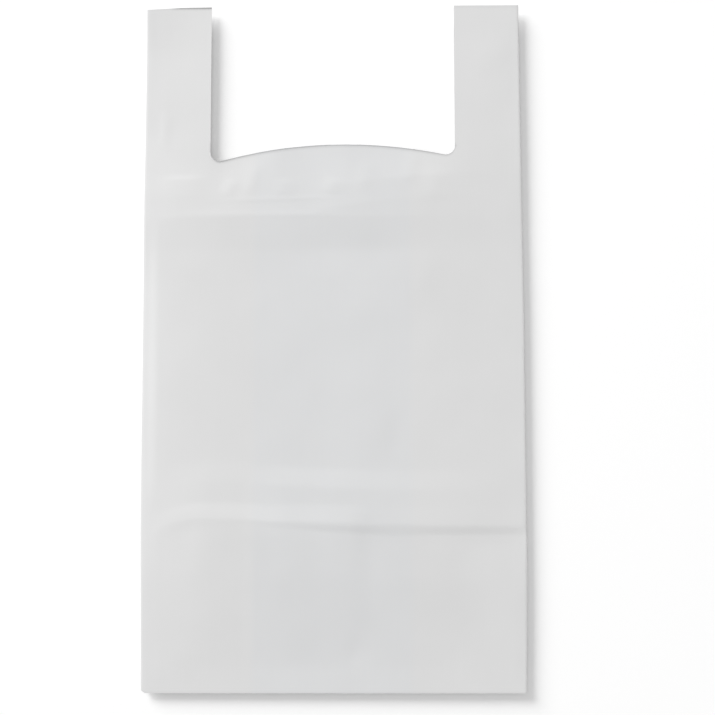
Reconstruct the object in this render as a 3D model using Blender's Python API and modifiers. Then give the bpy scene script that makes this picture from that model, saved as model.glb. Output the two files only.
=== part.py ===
"""A t-shirt bag of white plastic film, lying flat as it comes to rest.

The bag is one gusseted tube of film. Both sides are folded inwards, the bottom is heat sealed straight
across, the top is heat sealed across each handle, and one die cut through all the layers makes the notch
with its arched mouth. It lies on its back panel, with the handles towards +Y and the front panel up. A
little air and the spring of the folds hold the layers apart.

X runs across the bag, Y along it and Z up, in metres. The origin is under the middle of the bag.
Stations along the bag are measured from its bottom edge.
"""

import math

import bmesh
import bpy

# The flat bag
WIDTH = 0.305
LENGTH = 0.559
GUSSET_DEPTH = 0.089
HANDLE_WIDTH = 0.0525
GUSSET_OPENS_STATION = 0.3

# The film, drawn thicker than it is so that every layer is a solid with clear air beside it
FILM = 0.00025
LAYER_GAP = 0.00035

# The notch between the handles. The front panel falls to the mouth as far as its lip, which lies below the
# mouth's crown by a share of the notch's half width, clear of the arch's ends.
MOUTH_STATION = 0.4426
MOUTH_ARCH_RADIUS = 0.39
MOUTH_CROWN_OFFSET = 0.0095
NOTCH_CORNER_RADIUS = 0.0078
LIP_SHARE = 0.25

# The heat seals
SEAL_WIDTH = 0.004
SEAL_PROUD = 0.00015
SEAL_LIFT = 0.0022
SEAL_RISE = 0.024

# How high the front panel lies, to the middle of the film, how it rises and falls along the bag, and how
# square its arch is across the bag
EDGE_HEIGHT = 0.0062
EDGE_RISE = 0.05
PLATEAU_HEIGHT = 0.0092
CREST_HEIGHT = 0.0101
LIP_HEIGHT = 0.0072
BOTTOM_BULGE = 0.0011
HANDLE_FALL = 0.042
FRONT_ROUNDNESS = 4

# The creases across the front panel
LOWER_CREASE_STATION = 0.1345
LOWER_CREASE_SLANT = 0.027
LOWER_CREASE_DROP = 0.0006
LOWER_CREASE_STEP = 0.0035
MINOR_CREASE_STATION = 0.164
MINOR_CREASE_HEIGHT = 0.0004
MINOR_CREASE_RUN = 0.007
UPPER_CREASE_STATION = 0.386
CREASE_RUN = 0.018

# How finely the curved shapes are drawn
FOLD_STEPS = 4
LEAF_STEPS = 2
BACK_STEPS = 4
FRONT_STEPS = 16
CORNER_STEPS = 6
ARCH_STEPS = 28
SEAL_STEPS = 4
LONGEST_ROW = 0.034
WELD_DISTANCE = 0.00001
SHARP_ANGLE = math.radians(40)

# The film's look
FILM_COLOUR = (0.72, 0.725, 0.73, 1)
FILM_ROUGHNESS = 0.45

# What follows from these
LAYER_PITCH = FILM + LAYER_GAP
FOLD_RADIUS = LAYER_PITCH / 2
STACK = 3 * LAYER_PITCH
REST_HEIGHT = FILM / 2
FOLD_CENTRE_X = WIDTH / 2 - FILM / 2 - SEAL_PROUD - FOLD_RADIUS
GUSSET_REACH_X = WIDTH / 2 - GUSSET_DEPTH
NOTCH_HALF_WIDTH = WIDTH / 2 - HANDLE_WIDTH
LIP_STATION = MOUTH_STATION - LIP_SHARE * NOTCH_HALF_WIDTH
TUBE_END_LAP = SEAL_WIDTH / 2


def clear_scene():
    for obj in list(bpy.data.objects):
        bpy.data.objects.remove(obj, do_unlink=True)


def new_collection(name):
    collection = bpy.data.collections.new(name)
    bpy.context.scene.collection.children.link(collection)
    return collection


def ease(share):
    """A smooth step from 0 to 1."""
    share = min(max(share, 0.0), 1.0)
    return share * share * (3 - 2 * share)


def along(station, anchors):
    """The height at a station on the straight runs between anchors."""
    for (start, low), (end, high) in zip(anchors, anchors[1:]):
        if station <= end:
            return low + (high - low) * (station - start) / (end - start)
    return anchors[-1][1]


def distance_to_end(station):
    return min(station, LENGTH - station) - SEAL_WIDTH


def back_height(station):
    """The back panel lies on the floor and lifts to the two seals."""
    return REST_HEIGHT + SEAL_LIFT * (1 - ease(distance_to_end(station) / SEAL_RISE))


def stack_top():
    return REST_HEIGHT + SEAL_LIFT + STACK


def edge_height(station):
    """The front panel's height at its side folds."""
    rise = EDGE_RISE if station < LENGTH / 2 else HANDLE_FALL
    share = math.sin(math.pi / 2 * min(max(distance_to_end(station) / rise, 0.0), 1.0))
    return stack_top() + (EDGE_HEIGHT - stack_top()) * share


def crown_anchors():
    """Where the front panel's middle bends, and how high it is there."""
    step_start = LOWER_CREASE_STATION - LOWER_CREASE_STEP
    return [
        (0.0, stack_top()),
        (SEAL_WIDTH, stack_top()),
        (step_start, CREST_HEIGHT - LOWER_CREASE_DROP),
        (LOWER_CREASE_STATION, CREST_HEIGHT),
        (LOWER_CREASE_STATION + CREASE_RUN, PLATEAU_HEIGHT),
        (MINOR_CREASE_STATION - MINOR_CREASE_RUN, PLATEAU_HEIGHT),
        (MINOR_CREASE_STATION, PLATEAU_HEIGHT + MINOR_CREASE_HEIGHT),
        (MINOR_CREASE_STATION + MINOR_CREASE_RUN, PLATEAU_HEIGHT),
        (UPPER_CREASE_STATION - CREASE_RUN, PLATEAU_HEIGHT),
        (UPPER_CREASE_STATION, CREST_HEIGHT),
        (LIP_STATION, LIP_HEIGHT),
        (LENGTH - SEAL_WIDTH - HANDLE_FALL, EDGE_HEIGHT),
        (LENGTH - SEAL_WIDTH, stack_top()),
        (LENGTH, stack_top()),
    ]


def crown_height(station):
    """The front panel's height along its middle."""
    if station > LENGTH - SEAL_WIDTH - HANDLE_FALL:
        return edge_height(station)
    share = (station - SEAL_WIDTH) / (LOWER_CREASE_STATION - SEAL_WIDTH)
    bulge = BOTTOM_BULGE * math.sin(math.pi * share) if 0 < share < 1 else 0.0
    return along(station, crown_anchors()) + bulge


def row_stations():
    """The rows of the loft: every bend, and rows between them where they lie far apart."""
    bends = {station for station, height in crown_anchors()}
    bends |= {TUBE_END_LAP, LENGTH - TUBE_END_LAP}
    for step in range(1, SEAL_STEPS + 1):
        from_seal = SEAL_RISE * step / SEAL_STEPS
        bends |= {SEAL_WIDTH + from_seal, LENGTH - SEAL_WIDTH - from_seal}
    bends -= {0.0, LENGTH}
    rows = []
    ordered = sorted(bends)
    for start, end in zip(ordered, ordered[1:]):
        steps = math.ceil((end - start) / LONGEST_ROW)
        rows += [start + (end - start) * step / steps for step in range(steps)]
    return rows + [ordered[-1]]


def slant(station):
    """How far a row leans, as rise over run, so that the lower crease runs down to the right."""
    span_end = UPPER_CREASE_STATION - CREASE_RUN
    if station <= LOWER_CREASE_STATION:
        return -LOWER_CREASE_SLANT * station / LOWER_CREASE_STATION
    return -LOWER_CREASE_SLANT * max(0.0, (span_end - station) / (span_end - LOWER_CREASE_STATION))


def inner_fold_radius(station):
    """The gusset's inner fold is sharp in the body of the bag and opens towards the mouth."""
    widest = (edge_height(station) - back_height(station)) / 2 - LAYER_PITCH
    share = ease((station - GUSSET_OPENS_STATION) / (LIP_STATION - GUSSET_OPENS_STATION))
    return FOLD_RADIUS + (widest - FOLD_RADIUS) * share


def half_turn(centre_x, centre_z, radius, outwards):
    """A fold from its lower layer to its upper one, bulging outwards (+1) or inwards (-1)."""
    turns = [math.pi * step / FOLD_STEPS - math.pi / 2 for step in range(FOLD_STEPS + 1)]
    return [
        (centre_x + outwards * radius * math.cos(turn), centre_z + radius * math.sin(turn)) for turn in turns
    ]


def between(start, end, steps):
    """The points that divide a straight run, without its ends."""
    (x0, z0), (x1, z1) = start, end
    shares = [step / steps for step in range(1, steps)]
    return [(x0 + (x1 - x0) * share, z0 + (z1 - z0) * share) for share in shares]


def right_side(station):
    """The right side of the section, from the back panel up round the gusset to the front panel."""
    back = back_height(station)
    edge = edge_height(station)
    inner_radius = inner_fold_radius(station)
    lower_fold = half_turn(FOLD_CENTRE_X, back + FOLD_RADIUS, FOLD_RADIUS, 1)
    inner_fold = half_turn(GUSSET_REACH_X + inner_radius, (back + edge) / 2, inner_radius, -1)
    upper_fold = half_turn(FOLD_CENTRE_X, edge - FOLD_RADIUS, FOLD_RADIUS, 1)
    lower_leaf = between(lower_fold[-1], inner_fold[0], LEAF_STEPS)
    upper_leaf = between(inner_fold[-1], upper_fold[0], LEAF_STEPS)
    return lower_fold + lower_leaf + inner_fold + upper_leaf + upper_fold


def front_panel(station):
    """The front panel from right to left, arched between its side folds, without its ends."""
    edge = edge_height(station)
    arch = crown_height(station) - edge
    points = []
    for step in range(1, FRONT_STEPS):
        share = math.cos(math.pi * step / FRONT_STEPS)
        points.append((FOLD_CENTRE_X * share, edge + arch * (1 - share**FRONT_ROUNDNESS)))
    return points


def section(station):
    """The whole section of the tube as a closed ring of points across X and Z."""
    right = right_side(station)
    left = [(-x, z) for x, z in reversed(right)]
    back = between(left[-1], right[0], BACK_STEPS)
    return back + right + front_panel(station) + left


def film_tube(collection):
    """The gusseted tube as an open surface through its sections, given the film's thickness."""
    mesh_data = bmesh.new()
    rings = []
    for station in row_stations():
        lean = slant(station)
        ring = [mesh_data.verts.new((x, station - LENGTH / 2 + lean * x, z)) for x, z in section(station)]
        rings.append(ring)
    for near, far in zip(rings, rings[1:]):
        for index in range(len(near)):
            follower = (index + 1) % len(near)
            mesh_data.faces.new((near[index], near[follower], far[follower], far[index]))
    bmesh.ops.recalc_face_normals(mesh_data, faces=mesh_data.faces)
    tube = new_mesh_object("bag", mesh_data, collection)
    wall = tube.modifiers.new("film", "SOLIDIFY")
    wall.thickness = FILM
    wall.offset = 0
    wall.use_even_offset = True
    return tube


def new_mesh_object(name, mesh_data, collection):
    mesh = bpy.data.meshes.new(name)
    mesh_data.to_mesh(mesh)
    mesh_data.free()
    obj = bpy.data.objects.new(name, mesh)
    collection.objects.link(obj)
    return obj


def as_helper(obj):
    obj.hide_render = True
    obj.display_type = "WIRE"
    return obj


def seal(name, end_y, collection):
    """A heat seal right across the tube, where all four layers are fused. It ends at end_y."""
    inwards = -math.copysign(SEAL_WIDTH / 2, end_y)
    thickness = STACK + FILM + 2 * SEAL_PROUD
    mesh_data = bmesh.new()
    bmesh.ops.create_cube(mesh_data, size=1)
    bmesh.ops.scale(mesh_data, vec=(WIDTH, SEAL_WIDTH, thickness), verts=mesh_data.verts)
    middle = REST_HEIGHT + SEAL_LIFT + STACK / 2
    bmesh.ops.translate(mesh_data, vec=(0, end_y + inwards, middle), verts=mesh_data.verts)
    return as_helper(new_mesh_object(name, mesh_data, collection))


def arc(centre, radius, start, end, steps):
    turns = [start + (end - start) * step / steps for step in range(steps + 1)]
    return [(centre[0] + radius * math.cos(turn), centre[1] + radius * math.sin(turn)) for turn in turns]


def notch_outline():
    """The die's outline: up the left handle's side, over the top and down to the arched mouth."""
    arch_centre = (MOUTH_CROWN_OFFSET, MOUTH_STATION - LENGTH / 2 - MOUTH_ARCH_RADIUS)
    reach = MOUTH_ARCH_RADIUS + NOTCH_CORNER_RADIUS
    corners = []
    for side in (-1, 1):
        x = side * (NOTCH_HALF_WIDTH - NOTCH_CORNER_RADIUS)
        y = arch_centre[1] + math.sqrt(reach**2 - (x - arch_centre[0]) ** 2)
        lean = math.atan2(y - arch_centre[1], x - arch_centre[0])
        corners.append(((x, y), lean))
    (left_centre, left_lean), (right_centre, right_lean) = corners
    beyond_top = LENGTH / 2 + NOTCH_CORNER_RADIUS
    left = arc(left_centre, NOTCH_CORNER_RADIUS, math.pi, math.pi + left_lean, CORNER_STEPS)
    mouth = arc(arch_centre, MOUTH_ARCH_RADIUS, left_lean, right_lean, ARCH_STEPS)
    right = arc(right_centre, NOTCH_CORNER_RADIUS, math.pi + right_lean, 2 * math.pi, CORNER_STEPS)
    top = [(NOTCH_HALF_WIDTH, beyond_top), (-NOTCH_HALF_WIDTH, beyond_top)]
    return left + mouth[1:-1] + right + top


def notch_cutter(collection):
    """The die that cuts the notch through every layer."""
    curve = bpy.data.curves.new("notch_outline", "CURVE")
    curve.dimensions = "2D"
    curve.fill_mode = "BOTH"
    curve.extrude = 2 * CREST_HEIGHT
    outline = notch_outline()
    spline = curve.splines.new("POLY")
    spline.points.add(len(outline) - 1)
    for point, (x, y) in zip(spline.points, outline):
        point.co = (x, y, 0, 1)
    spline.use_cyclic_u = True
    drawn = bpy.data.objects.new("notch_outline", curve)
    collection.objects.link(drawn)
    bpy.context.view_layer.update()
    evaluated = drawn.evaluated_get(bpy.context.evaluated_depsgraph_get())
    mesh = bpy.data.meshes.new_from_object(evaluated)
    mesh_data = bmesh.new()
    mesh_data.from_mesh(mesh)
    bmesh.ops.remove_doubles(mesh_data, verts=mesh_data.verts, dist=WELD_DISTANCE)
    cutter = as_helper(new_mesh_object("notch_die", mesh_data, collection))
    cutter.matrix_world = drawn.matrix_world
    bpy.data.meshes.remove(mesh)
    bpy.data.objects.remove(drawn, do_unlink=True)
    return cutter


def add_boolean(obj, operation, other):
    modifier = obj.modifiers.new(other.name, "BOOLEAN")
    modifier.operation = operation
    modifier.solver = "EXACT"
    modifier.object = other


def film_material():
    """White high-density polyethylene film, with a dull satin skin."""
    material = bpy.data.materials.new("white_film")
    material.use_nodes = True
    shader = material.node_tree.nodes["Principled BSDF"]
    shader.inputs["Base Color"].default_value = FILM_COLOUR
    shader.inputs["Roughness"].default_value = FILM_ROUGHNESS
    shader.inputs["Metallic"].default_value = 0
    return material


def build():
    clear_scene()
    parts = new_collection("t_shirt_bag")
    helpers = new_collection("cutters")
    bag = film_tube(parts)
    add_boolean(bag, "UNION", seal("bottom_seal", -LENGTH / 2, helpers))
    add_boolean(bag, "UNION", seal("top_seal", LENGTH / 2, helpers))
    add_boolean(bag, "DIFFERENCE", notch_cutter(helpers))
    bag.data.materials.append(film_material())
    bag.data.shade_smooth()
    bag.data.set_sharp_from_angle(angle=SHARP_ANGLE)


build()
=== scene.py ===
"""The looks of a t-shirt bag of white plastic film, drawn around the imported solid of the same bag.

The film is one thin sheet here, gusseted, sealed and die cut as the solid is, with the creases and soft
waves of a bag that was packed flat. It lies on a pale floor in soft light from the upper left.

X runs across the bag, Y along it towards the handles and Z up, in metres. Stations along the bag are
measured from its bottom edge, and "across" is measured from its middle line.
"""

import math
from typing import NamedTuple

import bpy
import numpy as np
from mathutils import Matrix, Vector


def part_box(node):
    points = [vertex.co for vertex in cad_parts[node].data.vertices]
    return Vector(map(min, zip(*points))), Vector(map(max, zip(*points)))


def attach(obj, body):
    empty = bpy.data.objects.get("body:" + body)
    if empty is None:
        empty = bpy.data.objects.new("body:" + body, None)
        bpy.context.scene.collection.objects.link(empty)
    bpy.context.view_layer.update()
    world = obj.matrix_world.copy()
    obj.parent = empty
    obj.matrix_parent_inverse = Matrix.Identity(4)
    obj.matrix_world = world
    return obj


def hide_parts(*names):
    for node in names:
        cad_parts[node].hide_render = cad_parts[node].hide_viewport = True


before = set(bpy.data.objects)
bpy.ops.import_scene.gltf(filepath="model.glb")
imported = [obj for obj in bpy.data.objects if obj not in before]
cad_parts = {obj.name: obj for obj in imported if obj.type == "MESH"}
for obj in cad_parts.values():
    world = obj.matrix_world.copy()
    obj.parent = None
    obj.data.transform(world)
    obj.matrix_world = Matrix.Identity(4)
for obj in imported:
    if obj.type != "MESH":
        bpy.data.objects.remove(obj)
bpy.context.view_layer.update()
bag_low, bag_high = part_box("bag")

# The flat bag
HALF_WIDTH = (bag_high.x - bag_low.x) / 2
LENGTH = bag_high.y - bag_low.y
GUSSET_DEPTH = 0.089
HANDLE_WIDTH = 0.0525

# The film and how close its layers lie
FILM = 0.00008
FOLD_RADIUS = 0.0003
SEALED_PITCH = 0.0001

# The notch between the handles
MOUTH_STATION = 0.4407
MOUTH_ARCH_RADIUS = 0.39
MOUTH_CROWN_OFFSET = 0.0095
NOTCH_CORNER_RADIUS = 0.0078

# The die cut: how wide its rim shows, curled up and darkened with painted shade, how far the rim curls up,
# and how far the layers at the left handle's cut side have slid to the left from the top one to the bottom
# one
RIM_WIDTH = 0.0016
RIM_CURL = 0.0002
LAYER_SLIDE = 0.0009
SLIDE_REACH = 0.02
SLIDE_START = 0.42

# The heat seals
SEAL_WIDTH = 0.004
SEAL_RISE = 0.024
SEAL_BEAD = 0.00008
BEAD_HALF_WIDTH = 0.0008
SEAL_FADE = 0.0008
PUCKER_HEIGHT = 0.00012
PUCKER_SPACING = 0.011
PUCKER_REACH = 0.014
PUCKER_DRIFT = 1.7
PUCKER_DRIFT_LENGTH = 0.103

# How high the front panel lies, and how fast it comes to that from the seals
LEFT_START_HEIGHT = 0.0055
LEFT_EDGE_HEIGHT = 0.0048
LEFT_SHOULDER_HEIGHT = 0.0069
LEFT_HANDLE_HEIGHT = 0.0042
RIGHT_EDGE_HEIGHT = 0.0069
HANDLE_HEIGHT = 0.0073
EDGE_RISE = 0.12
HANDLE_FALL = 0.036
PLATEAU_START_HEIGHT = 0.0084
PLATEAU_END_HEIGHT = 0.0089
LEFT_RISE_WIDTH = 0.106
LEFT_ROUNDNESS = 4.4
RIGHT_FALL_WIDTH = 0.13
RIGHT_ROUNDNESS = 1.4
HANDLE_BLEND = 0.0005
CLEAR_EDGE = 0.012

# The lip along the left side, a band that rises faster
LIP_SHARE = 0.26
LIP_START = 0.0034
LIP_WIDTH = 0.0095

# The bottom left corner, which is drawn in along the bag
CORNER_TUCK = 0.0022
CORNER_WIDTH = 0.0035
CORNER_LENGTH = 0.02

# The fold across the lower part: a step down to the right, and a fall above it to the left
LOWER_CREASE_STATION = 0.130
LOWER_STEP_HEIGHT = 0.00062
LOWER_FALL_HEIGHT = 0.00085
LOWER_FALL_LENGTH = 0.013

# The minor fold above it, which falls the same way
MINOR_FALL_STATION = 0.162
MINOR_FALL_HEIGHT = 0.0010
MINOR_FALL_LENGTH = 0.015

# The fold below the mouth
UPPER_RISE_START = 0.354
UPPER_RISE_END = 0.381
UPPER_RISE = 0.0010
NEAR_FALL_LENGTH = 0.018

# Where the handles part from the body's shape, and where the gussets begin to open and stand open
BLEND_STATION = 0.4
GUSSET_OPENS_STATION = 0.3
GUSSET_FULLY_OPEN_STATION = 0.4176

# Profiles along the bag, as pairs of station and value: how far the side edges stray outwards, how high they
# lie, how the middle rises from the bottom seal and over the upper fold, and how much of the lip, the step
# and the two lower falls shows there
LEFT_STRAY = ((0.0, -0.0018), (0.02, -0.0013), (0.07, -0.0006), (0.15, 0.0007), (0.4, 0.0010), (0.56, 0.0008))
RIGHT_STRAY = ((0.0, 0.0), (0.03, 0.0009), (0.08, 0.0018), (0.3, 0.0019), (0.4, 0.0012), (0.56, 0.0004))
LEFT_EDGE = ((0.1, LEFT_START_HEIGHT), (0.2, LEFT_EDGE_HEIGHT), (0.33, LEFT_EDGE_HEIGHT),
             (0.38, LEFT_SHOULDER_HEIGHT), (BLEND_STATION, LEFT_SHOULDER_HEIGHT), (0.45, LEFT_HANDLE_HEIGHT))
RIGHT_EDGE = ((UPPER_RISE_START, RIGHT_EDGE_HEIGHT), (MOUTH_STATION, HANDLE_HEIGHT))
BOTTOM_RISE = ((0.0, 0.0), (0.02, 0.08), (LOWER_CREASE_STATION, 1.0))
PLATEAU = ((0.18, PLATEAU_START_HEIGHT), (UPPER_RISE_START, PLATEAU_END_HEIGHT))
UPPER_CLIMB = ((UPPER_RISE_START, 0.0), (UPPER_RISE_END, UPPER_RISE))
LIP_ALONG = ((0.15, 0.0), (0.2, 0.8), (0.24, 1.0), (0.35, 0.9), (0.385, 0.0))
STEP_ALONG = ((0.09, 0.0), (0.12, 1.0))
FALLS_ALONG = ((0.02, 0.0), (0.12, 1.0))

# Profiles across the bag, as pairs of place across and value. The path is how far from its mean station the
# lower crease runs, and the crest is where the front panel is highest below the mouth.
CREASE_PATH = ((-0.155, -0.013), (-0.145, -0.008), (-0.132, 0.002), (-0.11, 0.0065), (-0.07, 0.0055),
               (-0.05, 0.0022), (-0.01, -0.0005), (0.03, -0.0024), (0.155, -0.0032))
STEP_WIDTH = ((-0.1, 0.018), (-0.06, 0.007), (-0.03, 0.007), (0.03, 0.009), (0.05, 0.012), (0.08, 0.009))
STEP_SHARE = ((-0.14, 0.0), (-0.115, 0.8), (-0.09, 0.4), (-0.065, 0.15), (-0.05, 0.35), (-0.03, 0.35),
              (-0.01, 0.7), (0.03, 1.0), (0.11, 1.05), (0.14, 0.95), (0.1525, 0.6))
FALL_START = ((-0.07, 0.1305), (-0.03, 0.134), (0.0, 0.1355))
FALL_SHARE = ((-0.145, 0.0), (-0.12, 0.7), (-0.11, 1.0), (0.0, 1.0), (0.015, 0.9), (0.03, 0.2))
MINOR_SHARE = ((-0.13, 0.0), (-0.1, 0.3), (-0.07, 0.35), (-0.04, 1.0), (0.0, 1.0), (0.03, 0.7), (0.09, 0.5),
               (0.12, 0.2), (0.14, 0.0))
CLIMB_SHARE = ((-0.02, 0.75), (0.01, 1.0), (0.05, 1.0), (0.09, 0.5))
CREST_STATION = ((-0.05, 0.3805), (-0.02, 0.382), (0.0, 0.389), (0.04, 0.394), (0.1, 0.399))
NEAR_SLOPE = ((-0.12, 0.035), (-0.09, 0.055), (-0.07, 0.03), (-0.05, 0.02), (-0.03, 0.026), (0.05, 0.03),
              (0.11, 0.022))
FAR_SLOPE = ((-0.11, 0.062), (-0.09, 0.064), (-0.065, 0.045), (-0.045, 0.028), (0.01, 0.042), (0.03, 0.07),
             (0.07, 0.09), (0.11, 0.05))
# How much the die cut's rim curls up and is darkened with painted shade, along the mouth and on the left
# handle's top
MOUTH_RIM = ((-0.1, 0.3), (-0.092, 1.0), (-0.08, 0.8), (0.08, 0.8), (0.1, 0.3))
LEFT_TOP_RIM = ((-0.135, 0.0), (-0.125, 1.0), (-0.1, 1.4), (-0.099, 0.0))

# How high the middle of each end's seal lies, as pairs of place across and height
BOTTOM_SEAL = ((-0.1525, 0.0056), (0.1525, 0.0067))
TOP_SEAL = ((-0.1525, 0.0056), (-0.1, 0.0068), (0.1, 0.0068), (0.1525, 0.0070))

# How far short of the flat bag's length the handles' tops stop, as pairs of place across and distance
TOP_DROP = ((-0.1525, 0.0027), (-0.125, 0.0017), (0.11, 0.0014), (0.1525, 0.0016))

# The hollow between the bottom seal and the lower crease, where the film sags off its gussets, is darkened
# with painted shade
HOLLOW_SHADE_ACROSS = ((-0.0655, 0.0), (-0.0605, 1.0), (-0.02, 1.0), (0.0, 0.3), (0.02, 0.7), (0.1, 1.0),
                 (0.125, 0.0))
HOLLOW_SHADE_ALONG = ((0.02, 0.0), (0.036, 1.0), (0.11, 1.0), (0.124, 0.0))

# How far each kind of profile's corners are rounded, and how soon the stray dies away from the side folds
STRAY_SOFTNESS = 0.01
EDGE_SOFTNESS = 0.004
BODY_SOFTNESS = 0.0025
PATH_SOFTNESS = 0.004
FALL_SOFTNESS = 0.0008
MINOR_SOFTNESS = 0.0015
STRAY_POWER = 4

# The share of a ridge's length over which it fades out at either end
RIDGE_FADE = 0.35

# The low waves all over
WAVE_SEED = 7
WAVE_COUNT = 18
WAVE_LENGTHS = (0.032, 0.11)
WAVE_STEEPNESS = 0.0003

# The mesh
FRONT_STEP = 0.0036
EDGE_STEP = 0.0016
EDGE_STRIP = 0.014
EDGE_REFINEMENT = 3
BACK_STEP = 0.012
LEAF_STEP = 0.009
LEAF_CLEARANCE = 0.005
FOLD_STEPS = 4
INNER_FOLD_STEPS = 6
CORNER_STEPS = 6
SHARP_ANGLE = math.radians(40)
TOLERANCE = 1e-6

# The rows of the mesh: the body's as start, end and longest step, and those on to the mouth and up a handle
# as start, end and number of steps, in shares of the way
BODY_RUNS = ((0.0, 0.006, 0.001), (0.006, 0.03, 0.003), (0.03, 0.112, 0.006), (0.112, 0.12, 0.002),
             (0.12, 0.14, 0.001), (0.14, 0.18, 0.002), (0.18, 0.35, 0.006), (0.35, 0.376, 0.0026),
             (0.376, BLEND_STATION, 0.0014))
MOUTH_RUNS = ((0.0, 0.97, 22), (0.97, 1.0, 4))
HANDLE_RUNS = ((0.0, 0.76, 20), (0.76, 0.96, 8), (0.96, 1.0, 6))

# The light: shares of the level at which a colour renders as it is written
KEY_SHARE = 0.52
TOP_SHARE = 0.2
WORLD_SHARE = 0.28
KEY_ZENITH = math.radians(63)
KEY_AZIMUTH = math.radians(135)
KEY_DISTANCE = 16.0
KEY_HALF_ANGLE = math.radians(17)
TOP_DISTANCE = 2.6
TOP_WIDTH = 1.8

# The stage
FLOOR_WIDTH = 8.0
FLOOR_DROP = 0.0002
FLOOR_COLOUR = 0.88
FLOOR_GLOW = 0.19
FLOOR_ROUGHNESS = 0.9
FLOOR_GLOSS = 0.1

# The camera
CAMERA_PLACE = (0.04613, -0.17821, 1.35421)
CAMERA_TURN = tuple(math.radians(angle) for angle in (6.9536, 1.1084, -0.0691))
CAMERA_LENS = 85
CAMERA_SENSOR = 36

# The film's colour: its level, what the clouds, lines, gussets (paler where the layers lie four deep, and in
# part painted shade on the film between them), the painted shade in the hollow and along the cut rim, and the
# seals add to it, and what the film that has no gusset under it adds to red, green and blue
FILM_COLOUR = 0.750
CLOUD_TONE = 0.03
LINE_TONE = 0.006
# Paler where the layers lie four deep over the gussets, and in part painted shade: the film between the
# gussets is kept darker, as if the shaded floor showed through it
DOUBLED_AND_SHADE_TONE = 0.009
# Painted shade in the hollow where the film sags above the bottom seal
HOLLOW_SHADE_TONE = -0.012
# Painted shade: a dark line along the die cut
RIM_SHADE_TONE = -0.34
SEAL_TONE = -0.012
SINGLE_TINT = (-0.002, 0.003, 0.009)

# The film's skin
SKIN_ROUGHNESS = 0.56
CRINKLE_ROUGHNESS = 0.22
SEAL_ROUGHNESS = -0.1
LINE_RELIEF = 0.12
GRAIN_RELIEF = 0.06
RELIEF_STRENGTH = 0.35
RELIEF_HEIGHT = 0.0001
FILM_GLOSS = 0.12

# The film's noises, each as its scale, its detail and the shares that its coordinates are squeezed to
CLOUDS = (22.0, 3.0, (1, 1, 1))
LINES = (420.0, 2.0, (1, 0.02, 1))
GRAIN = (1500.0, 3.0, (1, 1, 1))
CRINKLE = (85.0, 4.0, (1, 0.45, 1))
NOISE_ROUGHNESS = 0.5

# What follows from these
REST_HEIGHT = FILM / 2
GUSSET_REACH_X = HALF_WIDTH - GUSSET_DEPTH
CUT_X = HALF_WIDTH - HANDLE_WIDTH
SEALED_HALF = 1.5 * SEALED_PITCH
FILLET_X = CUT_X - NOTCH_CORNER_RADIUS


class Ridge(NamedTuple):
    """A soft ridge in the front panel, or a furrow where its height is negative. Its ends are places on the
    bag, given as across and station, and it fades out towards both. On its right-hand side it is wider by the
    slack, as seen from its start."""

    start: tuple
    end: tuple
    height: float
    half_width: float
    slack: float = 1.0


FRONT_RIDGES = {
    "upper_fold_line": Ridge((-0.14, 0.3835), (0.02, 0.3825), 0.00010, 0.0022),
    "mouth_fold_line": Ridge((-0.11, 0.394), (0.015, 0.397), 0.00012, 0.0020),
    "left_streak": Ridge((-0.143, 0.4118), (-0.1, 0.4128), 0.00029, 0.0024, slack=8.0),
    "left_handle_streak": Ridge((-0.137, 0.436), (-0.136, 0.474), 0.00026, 0.004),
    "left_pucker": Ridge((-0.0425, 0.397), (-0.0405, 0.414), 0.00024, 0.0034, slack=3.0),
    "middle_pucker": Ridge((-0.003, 0.398), (-0.001, 0.415), 0.00026, 0.0034, slack=3.0),
    "left_blotch": Ridge((-0.089, 0.395), (-0.079, 0.414), 0.00030, 0.0045),
    "lip_blotch": Ridge((-0.069, 0.396), (-0.06, 0.43), 0.00028, 0.005),
    "lip_wave": Ridge((0.022, 0.398), (0.032, 0.43), 0.00016, 0.005),
    "right_lip_wave": Ridge((0.06, 0.404), (0.068, 0.44), 0.00019, 0.005),
    "right_blotch": Ridge((0.078, 0.392), (0.086, 0.424), 0.00020, 0.006, slack=2.0),
    "right_handle_wave": Ridge((0.108, 0.495), (0.15, 0.53), 0.00026, 0.012),
    "gusset_bulge": Ridge((0.072, 0.315), (0.08, 0.352), 0.00010, 0.009),
    "right_dent": Ridge((0.05, 0.182), (0.054, 0.232), -0.00022, 0.008),
    "upper_hollow": Ridge((-0.045, 0.352), (0.075, 0.352), -0.00040, 0.016),
    "bottom_dent": Ridge((0.012, 0.02), (0.026, 0.046), -0.00020, 0.007),
}


class Column(NamedTuple):
    """One lengthwise line of the film: its layer, the side it is on (-1, 0 or 1), how far across it lies,
    and its place in the half turn of a fold."""

    layer: str
    side: int
    across: float
    turn: float = 0.0


def ease(share):
    """A smooth step from 0 to 1."""
    share = np.clip(share, 0.0, 1.0)
    return share * share * (3 - 2 * share)


def bell(distance, half_width):
    return np.exp(-((distance / half_width) ** 2))


def profile(place, pairs):
    """The value on straight runs between pairs of place and value."""
    places, values = zip(*pairs)
    return np.interp(place, places, values)


def softened(place, pairs, reach):
    """The same with its corners rounded over twice the reach to either side."""
    weights = (1, 4, 6, 4, 1)
    runs = [weight * profile(place + (step - 2) * reach, pairs) for step, weight in enumerate(weights)]
    return sum(runs) / sum(weights)


# The outline


def fillet_station(side):
    """Where the notch's straight side meets its rounded corner."""
    across = side * FILLET_X - MOUTH_CROWN_OFFSET
    reach = MOUTH_ARCH_RADIUS + NOTCH_CORNER_RADIUS
    return MOUTH_STATION - MOUTH_ARCH_RADIUS + math.sqrt(reach**2 - across**2)


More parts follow.
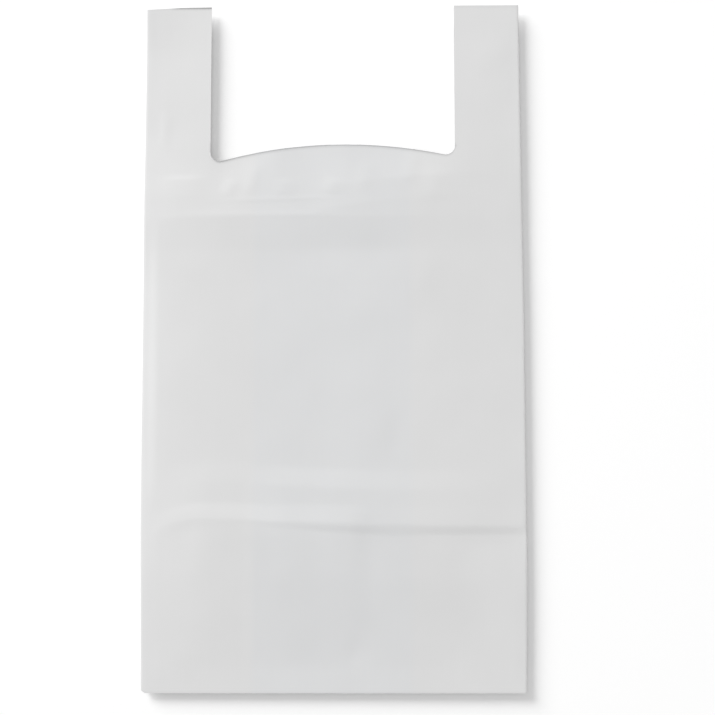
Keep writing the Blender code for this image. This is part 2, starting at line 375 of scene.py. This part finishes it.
def mouth_station(across):
    """The station of the mouth's edge, and beside the notch that of its corner's upper end."""
    side = 1 if across > 0 else -1
    if abs(across) >= CUT_X:
        return fillet_station(side)
    touch = MOUTH_ARCH_RADIUS / (MOUTH_ARCH_RADIUS + NOTCH_CORNER_RADIUS)
    touch_x = MOUTH_CROWN_OFFSET + touch * (side * FILLET_X - MOUTH_CROWN_OFFSET)
    if side * (across - touch_x) > 0:
        beyond = abs(across) - FILLET_X
        return fillet_station(side) - math.sqrt(NOTCH_CORNER_RADIUS**2 - beyond**2)
    run = across - MOUTH_CROWN_OFFSET
    return MOUTH_STATION - MOUTH_ARCH_RADIUS + math.sqrt(MOUTH_ARCH_RADIUS**2 - run**2)


def top_station(across):
    """The station of a handle's top edge."""
    return LENGTH - profile(across, TOP_DROP)


def side_stray(across, station):
    """How far the film strays to the right of the flat bag's own place, most at the side folds."""
    side = math.copysign(1, across)
    outwards = softened(station, RIGHT_STRAY if side > 0 else LEFT_STRAY, STRAY_SOFTNESS)
    return side * outwards * abs(across / HALF_WIDTH) ** STRAY_POWER


def crease_lean(across, station):
    """How far the lengthwise lines' points move along the bag, so that rows follow the lower crease."""
    below = station / LOWER_CREASE_STATION
    above = (UPPER_RISE_START - station) / (UPPER_RISE_START - LOWER_CREASE_STATION)
    return softened(across, CREASE_PATH, PATH_SOFTNESS) * np.clip(np.minimum(below, above), 0.0, 1.0)


def corner_tuck(across, station):
    """How far the bottom left corner is drawn in along the bag."""
    beside = ease(1 - (HALF_WIDTH + across) / CORNER_WIDTH)
    return CORNER_TUCK * beside * ease(1 - station / CORNER_LENGTH)


# The section


def distance_to_end(station):
    return np.minimum(station, LENGTH - station) - SEAL_WIDTH


def spread(station):
    """0 at the seals, where the layers are pressed together, and 1 in the body of the bag."""
    return ease(distance_to_end(station) / SEAL_RISE)


def seal_height(across, station):
    """The height of the nearer seal's middle."""
    return np.where(station < LENGTH / 2, profile(across, BOTTOM_SEAL), profile(across, TOP_SEAL))


def back_height(across, station):
    """The back panel lies on the floor and lifts to the two seals."""
    sealed = seal_height(across, station) - SEALED_HALF
    return REST_HEIGHT + (sealed - REST_HEIGHT) * (1 - spread(station))


def from_seals(across, station, full):
    """A height of the front panel where it is full in the body, and that of the seals at both ends."""
    sealed = seal_height(across, station) + SEALED_HALF
    rise = np.where(station < LENGTH / 2, EDGE_RISE, HANDLE_FALL)
    return sealed + (full - sealed) * np.clip(distance_to_end(station) / rise, 0.0, 1.0)


def edge_height(across, station):
    """How high the stack's top is at the side folds, and under the front panel nearer the middle."""
    left = softened(station, LEFT_EDGE, EDGE_SOFTNESS)
    right = softened(station, RIGHT_EDGE, EDGE_SOFTNESS)
    return from_seals(across, station, np.where(across > 0, right, left))


def outer_fold_radius(station):
    return SEALED_PITCH / 2 + (FOLD_RADIUS - SEALED_PITCH / 2) * spread(station)


def inner_fold_radius(across, station):
    """The gusset's inner fold is sharp in the body of the bag and opens towards the mouth."""
    sharp = outer_fold_radius(station)
    widest = (edge_height(across, station) - back_height(across, station)) / 2 - 2 * sharp
    opened = ease((station - GUSSET_OPENS_STATION) / (GUSSET_FULLY_OPEN_STATION - GUSSET_OPENS_STATION))
    return sharp + (widest - sharp) * opened * spread(station)


def crown_height(across, station):
    """The front panel's height away from its side folds, before its creases. It rises from the bottom seal to
    a plateau and a crest below the mouth, then falls to the mouth and the handles."""
    sealed = seal_height(across, station) + SEALED_HALF
    missing = 1 - softened(station, BOTTOM_RISE, BODY_SOFTNESS)
    plateau = softened(station, PLATEAU, BODY_SOFTNESS) - (PLATEAU_START_HEIGHT - sealed) * missing
    climb = profile(across, CLIMB_SHARE) * profile(station, UPPER_CLIMB)
    past_crest = np.maximum(station - profile(across, CREST_STATION), 0.0)
    near_fall = profile(across, NEAR_SLOPE) * np.minimum(past_crest, NEAR_FALL_LENGTH)
    far_fall = profile(across, FAR_SLOPE) * np.maximum(past_crest - NEAR_FALL_LENGTH, 0.0)
    body = plateau + climb - near_fall - far_fall
    handle = from_seals(across, station, softened(station, RIGHT_EDGE, EDGE_SOFTNESS))
    return (body + handle + np.sqrt((body - handle) ** 2 + HANDLE_BLEND**2)) / 2


def crown_share(across, station):
    """0 at the side folds and 1 where the front panel is as high as its middle. On the left handle it grows
    evenly from the fold to the cut side."""
    from_left = across + HALF_WIDTH
    missing = (1 - np.clip(from_left / LEFT_RISE_WIDTH, 0.0, 1.0)) ** LEFT_ROUNDNESS
    lip = LIP_SHARE * profile(station, LIP_ALONG) * ease((from_left - LIP_START) / LIP_WIDTH)
    rounded = 1 - missing * (1 - lip)
    even = np.clip(from_left / HANDLE_WIDTH, 0.0, 1.0)
    on_left = rounded + (even - rounded) * ease((station - BLEND_STATION) / (MOUTH_STATION - BLEND_STATION))
    from_right = np.clip((HALF_WIDTH - across) / RIGHT_FALL_WIDTH, 0.0, 1.0)
    return on_left * (1 - (1 - from_right) ** RIGHT_ROUNDNESS)


def fall_shape(distance, length, softness):
    """1 before a fall and 0 past it."""
    return softened(distance, ((0.0, 1.0), (length, 0.0)), softness)


def lower_folds(across, station):
    """The lower crease and the minor fold above it. The front panel falls from both towards its middle, and
    the crease has a step as well, down towards the bottom. What they change fades out towards the seal."""
    step = ease((LOWER_CREASE_STATION - station) / profile(across, STEP_WIDTH) + 0.5)
    step = LOWER_STEP_HEIGHT * profile(across, STEP_SHARE) * profile(station, STEP_ALONG) * step
    fall = fall_shape(station - profile(across, FALL_START), LOWER_FALL_LENGTH, FALL_SOFTNESS)
    fall = LOWER_FALL_HEIGHT * profile(across, FALL_SHARE) * fall
    minor = fall_shape(station - MINOR_FALL_STATION, MINOR_FALL_LENGTH, MINOR_SOFTNESS)
    minor = MINOR_FALL_HEIGHT * profile(across, MINOR_SHARE) * minor
    return (fall + minor) * profile(station, FALLS_ALONG) - step


def ridge_height(ridge, across, station):
    """What a ridge adds to the front panel's height."""
    start = np.array(ridge.start)
    run = np.array(ridge.end) - start
    length = np.hypot(*run)
    along = ((across - start[0]) * run[0] + (station - start[1]) * run[1]) / length
    aside = ((across - start[0]) * run[1] - (station - start[1]) * run[0]) / length
    fade_length = length * RIDGE_FADE
    fade = ease(along / fade_length) * ease((length - along) / fade_length)
    half_width = np.where(aside > 0, ridge.half_width * ridge.slack, ridge.half_width)
    return ridge.height * fade * bell(aside, half_width)


def soft_waves(across, station):
    """Low waves all over, as limp film has."""
    draw = np.random.default_rng(WAVE_SEED)
    height = np.zeros_like(across)
    for _ in range(WAVE_COUNT):
        length = draw.uniform(*WAVE_LENGTHS)
        heading = draw.uniform(0, math.pi)
        phase = draw.uniform(0, 2 * math.pi)
        travel = across * math.cos(heading) + station * math.sin(heading)
        height += WAVE_STEEPNESS * length * np.sin(2 * math.pi * travel / length + phase)
    return height


def seal_puckers(across, station):
    """Short upright waves beside the seals, where the fused film has shrunk."""
    drift = PUCKER_DRIFT * np.sin(2 * math.pi * across / PUCKER_DRIFT_LENGTH)
    wave = np.sin(2 * math.pi * across / PUCKER_SPACING + drift)
    clear = np.maximum(distance_to_end(station), 0.0)
    return PUCKER_HEIGHT * wave * (clear / PUCKER_REACH) * np.exp(1 - 2 * clear / PUCKER_REACH)


def front_height(across, station):
    """The front panel's height at a lengthwise line's place across and its own station."""
    edge = edge_height(across, station)
    height = edge + (crown_height(across, station) - edge) * crown_share(across, station)
    place = station + crease_lean(across, station)
    detail = soft_waves(across, place) + seal_puckers(across, station)
    for ridge in FRONT_RIDGES.values():
        detail = detail + ridge_height(ridge, across, place)
    clear_of_edge = ease((HALF_WIDTH - np.abs(across)) / CLEAR_EDGE)
    return height + lower_folds(across, station) + detail * clear_of_edge * spread(station)


def layer_slide(across, station, height):
    """How far the layers at the left handle's cut side have slid apart: the top one lies to the right of its
    place and the bottom one to the left."""
    nearness = bell(across + CUT_X, SLIDE_REACH) * ease((station - SLIDE_START) / SLIDE_REACH)
    return LAYER_SLIDE * nearness * (np.clip(height / crown_height(across, station), 0.0, 1.0) - 0.5)


def seal_bead(station):
    """The fused line stands a little proud of the film beside it."""
    from_end = np.minimum(station, LENGTH - station)
    return SEAL_BEAD * bell(from_end - SEAL_WIDTH / 2, BEAD_HALF_WIDTH)


def column_section(column, station):
    """Across and height of a lengthwise line at its stations."""
    side = column.side
    across = np.full_like(station, column.across)
    back = back_height(across, station)
    if column.layer == "back":
        return across, back
    if column.layer == "front":
        return across, front_height(across, station)
    edge = edge_height(across, station)
    outer = outer_fold_radius(station)
    inner = inner_fold_radius(across, station)
    middle = (back + edge) / 2
    outer_x = HALF_WIDTH - REST_HEIGHT - outer
    inner_x = GUSSET_REACH_X + inner
    if column.layer == "lower_fold":
        return side * (outer_x + outer * math.cos(column.turn)), back + outer + outer * math.sin(column.turn)
    if column.layer == "upper_fold":
        return side * (outer_x + outer * math.cos(column.turn)), edge - outer + outer * math.sin(column.turn)
    if column.layer == "inner_fold":
        return side * (inner_x - inner * math.cos(column.turn)), middle + inner * math.sin(column.turn)
    share = (abs(column.across) - inner_x) / (outer_x - inner_x)
    if column.layer == "lower_leaf":
        start, end = middle - inner, back + 2 * outer
    else:
        start, end = middle + inner, edge - 2 * outer
    return across, start + (end - start) * share


# The mesh


def even_steps(start, end, count):
    """This many evenly spread values from start up to end, without end."""
    return [start + (end - start) * step / count for step in range(count)]


def steps_between(start, end, longest):
    """Evenly spread values from start up to end, without end, no further apart than longest."""
    return even_steps(start, end, max(1, math.ceil((end - start) / longest - TOLERANCE)))


def corner_places():
    """Places across that follow the notch's rounded corner, from inside to the handle's cut side."""
    turns = [math.pi / 2 * (1 - step / CORNER_STEPS) for step in range(CORNER_STEPS + 1)]
    return [FILLET_X + NOTCH_CORNER_RADIUS * math.cos(turn) for turn in turns]


def panel_places(step):
    """Places across a whole panel, from left to right, closer together at the folds and the corners."""
    corner = corner_places()
    outer_start = HALF_WIDTH - FOLD_RADIUS - EDGE_STRIP
    outer_end = HALF_WIDTH - 2 * FOLD_RADIUS
    right = steps_between(0, corner[0], step)[1:] + corner
    right += steps_between(CUT_X + RIM_WIDTH, outer_start, step)
    right += steps_between(outer_start, outer_end, max(EDGE_STEP, step / EDGE_REFINEMENT))
    return [-place for place in reversed(right)] + [0.0] + right


def leaf_places():
    """Places across a gusset's leaf, from its inner fold out to its outer one."""
    inner_start = GUSSET_REACH_X + LEAF_CLEARANCE
    outer_end = HALF_WIDTH - 4 * FOLD_RADIUS
    corner = corner_places()
    places = steps_between(inner_start, corner[0], LEAF_STEP) + corner[:-1]
    return places + steps_between(corner[-1], outer_end, LEAF_STEP)


def half_turn(layer, side, across, steps):
    """The columns of a fold from its lower layer to its upper one."""
    turns = [math.pi * step / steps - math.pi / 2 for step in range(steps + 1)]
    return [Column(layer, side, side * across, turn) for turn in turns]


def side_columns(side):
    """The columns of one side, from the back panel up round the gusset to the front panel."""
    lower_leaf = [Column("lower_leaf", side, side * place) for place in reversed(leaf_places())]
    upper_leaf = [Column("upper_leaf", side, side * place) for place in leaf_places()]
    return (
        half_turn("lower_fold", side, HALF_WIDTH, FOLD_STEPS)
        + lower_leaf
        + half_turn("inner_fold", side, GUSSET_REACH_X, INNER_FOLD_STEPS)
        + upper_leaf
        + half_turn("upper_fold", side, HALF_WIDTH, FOLD_STEPS)
    )


def ring_columns():
    """Every column once round the tube, starting at the back panel's left."""
    back = [Column("back", 0, place) for place in panel_places(BACK_STEP)]
    front = [Column("front", 0, place) for place in reversed(panel_places(FRONT_STEP))]
    return back + side_columns(1) + front + side_columns(-1)[::-1]


def body_stations():
    """Rows from the bottom edge to where they start to bend to the mouth."""
    return [station for start, end, longest in BODY_RUNS for station in steps_between(start, end, longest)]


def shares(runs):
    """Rows as shares of the way, with both ends."""
    return [share for start, end, count in runs for share in even_steps(start, end, count)] + [1.0]


def column_stations(across):
    """The stations of a column's points: through the body, to the mouth and on up a handle."""
    mouth = mouth_station(across)
    top = top_station(across)
    to_mouth = [BLEND_STATION + (mouth - BLEND_STATION) * share for share in shares(MOUTH_RUNS)]
    up_handle = [mouth + (top - mouth) * share for share in shares(HANDLE_RUNS)[1:]]
    return np.array(body_stations() + to_mouth + up_handle)


def on_handle(column):
    return abs(column.across) > CUT_X - TOLERANCE


def cut_distance(column, station):
    """How far a column's points are from the die cut."""
    if not on_handle(column):
        return mouth_station(column.across) - station
    beside = abs(column.across) - CUT_X
    below = np.maximum(fillet_station(math.copysign(1, column.across)) - station, 0.0)
    return np.hypot(beside, below)


def rim_curl_and_shade(column, station):
    """How far the die cut's rim curls up, and how much painted shade darkens it: along the mouth, and on the
    left handle's top.
    """
    from_top = top_station(column.across) - station
    mouth = profile(column.across, MOUTH_RIM) * (1 - ease(cut_distance(column, station) / RIM_WIDTH))
    top = profile(column.across, LEFT_TOP_RIM) * (1 - ease(from_top / RIM_WIDTH))
    return mouth * (station < mouth_station(0)) + top


def shading_masks(column, station):
    """Where painted shade darkens the cut rim, where a gusset lies under the film, where painted shade
    darkens the film that sags, and where it is sealed.
    """
    from_gusset = (abs(column.across) - GUSSET_REACH_X) / LEAF_CLEARANCE
    return {
        "rim": rim_curl_and_shade(column, station),
        "doubled": np.full_like(station, ease(from_gusset + 0.5)),
        "hollow": profile(column.across, HOLLOW_SHADE_ACROSS) * profile(station, HOLLOW_SHADE_ALONG),
        "seal": 1 - ease(distance_to_end(station) / SEAL_FADE),
    }


def column_points(column, station):
    """Where a column's points lie in the frame."""
    across, height = column_section(column, station)
    height = height + seal_bead(station)
    if column.layer == "front":
        height = height + RIM_CURL * rim_curl_and_shade(column, station)
    shifted = across + side_stray(column.across, station) + layer_slide(across, station, height)
    along = station - LENGTH / 2 + crease_lean(across, station) + corner_tuck(across, station)
    return np.stack([shifted, along, height], axis=1)


def film_grid(columns):
    """Points and shading masks of every column at every row."""
    stations = [column_stations(column.across) for column in columns]
    points = [column_points(column, station) for column, station in zip(columns, stations)]
    masks = [shading_masks(column, station) for column, station in zip(columns, stations)]
    return np.stack(points), {name: np.stack([each[name] for each in masks]) for name in masks[0]}


def film_faces(columns, rows, body_rows):
    """The quads between neighbouring columns. Above the mouth only the handles go on."""
    faces = []
    for index, column in enumerate(columns):
        follower = (index + 1) % len(columns)
        both_on_handle = on_handle(column) and on_handle(columns[follower])
        last = rows - 1 if both_on_handle else body_rows - 1
        for row in range(last):
            near = index * rows + row
            far = follower * rows + row
            faces.append((near, far, far + 1, near + 1))
    return faces


def film_sheet():
    columns = ring_columns()
    points, masks = film_grid(columns)
    rows = points.shape[1]
    body_rows = len(body_stations()) + len(shares(MOUTH_RUNS))
    mesh = bpy.data.meshes.new("film_sheet")
    mesh.from_pydata(points.reshape(-1, 3).tolist(), [], film_faces(columns, rows, body_rows))
    for name, values in masks.items():
        attribute = mesh.attributes.new(name, "FLOAT", "POINT")
        attribute.data.foreach_set("value", values.reshape(-1).astype(np.float32))
    return mesh


def thickened(mesh, name):
    """The sheet as a closed shell of the film's thickness, without the points that no face uses."""
    sheet = bpy.data.objects.new(name, mesh)
    bpy.context.scene.collection.objects.link(sheet)
    wall = sheet.modifiers.new("film", "SOLIDIFY")
    wall.thickness = FILM
    wall.offset = 0
    bpy.context.view_layer.objects.active = sheet
    sheet.select_set(True)
    bpy.ops.object.mode_set(mode="EDIT")
    bpy.ops.mesh.select_all(action="SELECT")
    bpy.ops.mesh.delete_loose()
    bpy.ops.object.mode_set(mode="OBJECT")
    bpy.ops.object.modifier_apply(modifier=wall.name)
    sheet.data.shade_smooth()
    sheet.data.set_sharp_from_angle(angle=SHARP_ANGLE)
    return sheet


# The materials


def new_material(name):
    material = bpy.data.materials.new(name)
    material.use_nodes = True
    return material, material.node_tree, material.node_tree.nodes["Principled BSDF"]


def add_node(tree, kind, inputs=(), **settings):
    node = tree.nodes.new(kind)
    for name, value in settings.items():
        setattr(node, name, value)
    for socket, value in inputs:
        if isinstance(value, bpy.types.NodeSocket):
            tree.links.new(value, node.inputs[socket])
        else:
            node.inputs[socket].default_value = value
    return node


def math_node(tree, operation, first, second):
    return add_node(tree, "ShaderNodeMath", ((0, first), (1, second)), operation=operation).outputs[0]


def weighted_sum(tree, base, parts):
    """The base plus each value times its weight."""
    total = base
    for value, weight in parts:
        total = math_node(tree, "ADD", total, math_node(tree, "MULTIPLY", value, weight))
    return total


def noise(tree, coordinates, scale, detail, squeeze):
    """Soft noise about 0.5, stretched by squeezing its coordinates."""
    mapping = add_node(tree, "ShaderNodeMapping", (("Vector", coordinates), ("Scale", squeeze)))
    place = ("Vector", mapping.outputs[0])
    settings = (place, ("Scale", scale), ("Detail", detail), ("Roughness", NOISE_ROUGHNESS))
    return add_node(tree, "ShaderNodeTexNoise", settings).outputs[0]


def mask(tree, name):
    return add_node(tree, "ShaderNodeAttribute", attribute_name=name).outputs["Fac"]


def film_material():
    """White polyethylene film with a satin skin: faint lengthwise lines from the die, cloudy where the film
    is a little thicker, paler over the gussets with painted shade on the film between them, painted shade in
    the hollow above the bottom seal and along the die cut, and glossier in the seals."""
    material, tree, shader = new_material("white_film")
    place = add_node(tree, "ShaderNodeTexCoord").outputs["Object"]
    clouds = noise(tree, place, *CLOUDS)
    lines = noise(tree, place, *LINES)
    grain = noise(tree, place, *GRAIN)
    crinkle = noise(tree, place, *CRINKLE)
    doubled = mask(tree, "doubled")
    seal = mask(tree, "seal")
    parts = (
        (clouds, CLOUD_TONE),
        (lines, LINE_TONE),
        # Paler over the gussets, with painted shade on the film between them
        (doubled, DOUBLED_AND_SHADE_TONE),
        # Painted shade in the hollow above the bottom seal
        (mask(tree, "hollow"), HOLLOW_SHADE_TONE),
        # Painted shade: a dark line along the die cut
        (mask(tree, "rim"), RIM_SHADE_TONE),
        (seal, SEAL_TONE),
    )
    level = weighted_sum(tree, FILM_COLOUR - (CLOUD_TONE + LINE_TONE) / 2, parts)
    single = math_node(tree, "SUBTRACT", 1.0, doubled)
    channels = [weighted_sum(tree, level, ((single, tint),)) for tint in SINGLE_TINT]
    colour = add_node(tree, "ShaderNodeCombineColor", enumerate(channels))
    roughness = weighted_sum(tree, SKIN_ROUGHNESS, ((crinkle, CRINKLE_ROUGHNESS), (seal, SEAL_ROUGHNESS)))
    relief = weighted_sum(tree, 0.0, ((crinkle, 1.0), (lines, LINE_RELIEF), (grain, GRAIN_RELIEF)))
    bump_settings = (("Strength", RELIEF_STRENGTH), ("Distance", RELIEF_HEIGHT), ("Height", relief))
    bump = add_node(tree, "ShaderNodeBump", bump_settings)
    tree.links.new(colour.outputs[0], shader.inputs["Base Color"])
    tree.links.new(roughness, shader.inputs["Roughness"])
    tree.links.new(bump.outputs[0], shader.inputs["Normal"])
    shader.inputs["Specular IOR Level"].default_value = FILM_GLOSS
    return material


def seen_directly(tree):
    """1 for what the camera sees directly, in a reflection or through something clear, and else 0."""
    path = add_node(tree, "ShaderNodeLightPath")
    seen = math_node(tree, "MAXIMUM", path.outputs["Is Camera Ray"], path.outputs["Is Glossy Ray"])
    return math_node(tree, "MAXIMUM", seen, path.outputs["Is Transmission Ray"])


def floor_material():
    """A pale matt floor that looks white, and keeps the shadow that falls on it."""
    material, tree, shader = new_material("pale_floor")
    shader.inputs["Base Color"].default_value = (FLOOR_COLOUR, FLOOR_COLOUR, FLOOR_COLOUR, 1)
    shader.inputs["Roughness"].default_value = FLOOR_ROUGHNESS
    shader.inputs["Specular IOR Level"].default_value = FLOOR_GLOSS
    shader.inputs["Emission Color"].default_value = (1, 1, 1, 1)
    glow = math_node(tree, "MULTIPLY", seen_directly(tree), FLOOR_GLOW)
    tree.links.new(glow, shader.inputs["Emission Strength"])
    return material


# The stage


def add_floor():
    reach = FLOOR_WIDTH / 2
    mesh = bpy.data.meshes.new("floor")
    corners = [(-reach, -reach, -FLOOR_DROP), (reach, -reach, -FLOOR_DROP), (reach, reach, -FLOOR_DROP),
               (-reach, reach, -FLOOR_DROP)]
    mesh.from_pydata(corners, [], [(0, 1, 2, 3)])
    mesh.materials.append(floor_material())
    floor = bpy.data.objects.new("floor", mesh)
    bpy.context.scene.collection.objects.link(floor)


def add_lamp(name, direction, distance, width, share):
    """A round soft lamp that faces the bag's middle and gives this share of the light on a level surface."""
    light = bpy.data.lights.new(name, "AREA")
    light.shape = "DISK"
    light.size = width
    light.energy = share * math.pi**2 * distance**2 / direction[2]
    lamp = bpy.data.objects.new(name, light)
    bpy.context.scene.collection.objects.link(lamp)
    lamp.location = [distance * part for part in direction]
    lamp.rotation_euler = (math.acos(direction[2]), 0, math.atan2(direction[1], direction[0]) + math.pi / 2)
    lamp.visible_camera = False


def add_light():
    flat = math.sin(KEY_ZENITH)
    key = (flat * math.cos(KEY_AZIMUTH), flat * math.sin(KEY_AZIMUTH), math.cos(KEY_ZENITH))
    add_lamp("key", key, KEY_DISTANCE, 2 * KEY_DISTANCE * math.tan(KEY_HALF_ANGLE), KEY_SHARE)
    add_lamp("top", (0, 0, 1), TOP_DISTANCE, TOP_WIDTH, TOP_SHARE)
    world = bpy.data.worlds.new("studio")
    world.use_nodes = True
    bpy.context.scene.world = world
    tree = world.node_tree
    strength = weighted_sum(tree, WORLD_SHARE, ((seen_directly(tree), 1 - WORLD_SHARE),))
    background = tree.nodes["Background"]
    background.inputs["Color"].default_value = (1, 1, 1, 1)
    tree.links.new(strength, background.inputs["Strength"])


def add_camera():
    camera = bpy.data.objects.new("camera", bpy.data.cameras.new("camera"))
    bpy.context.scene.collection.objects.link(camera)
    camera.location = CAMERA_PLACE
    camera.rotation_euler = CAMERA_TURN
    camera.data.lens = CAMERA_LENS
    camera.data.sensor_width = CAMERA_SENSOR
    bpy.context.scene.camera = camera


def add_bag():
    bag = thickened(film_sheet(), "bag_film")
    bag.data.materials.append(film_material())
    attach(bag, "root")
    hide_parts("bag")


bpy.context.scene.view_settings.view_transform = "Standard"
add_camera()
add_light()
add_floor()
add_bag()
